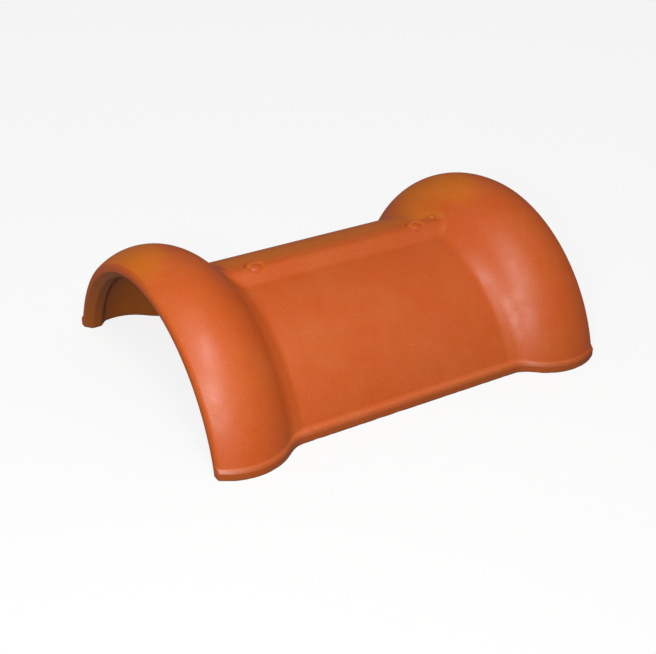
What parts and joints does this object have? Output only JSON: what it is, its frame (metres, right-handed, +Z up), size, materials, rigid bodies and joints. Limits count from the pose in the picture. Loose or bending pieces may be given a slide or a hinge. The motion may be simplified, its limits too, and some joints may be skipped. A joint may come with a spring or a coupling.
{
  "type": "half round ridge tile",
  "caption": "Half round clay ridge tile with a rounded bell socket at each end, a raised crest band with nail knock-outs, and flat bottom edges that bed along a roof ridge.",
  "frame": {"origin": "under the middle of the tile, in the plane of the two long bottom edges", "axes": "+X along the ridge, +Y across the tile, +Z up towards the crest"},
  "size_m": [0.343, 0.2686, 0.1093],
  "materials": {
    "terracotta": "fired clay with a smooth matt surface"
  },
  "bodies": {
    "root": {"ridge_tile": "terracotta"}
  },
  "joints": []
}
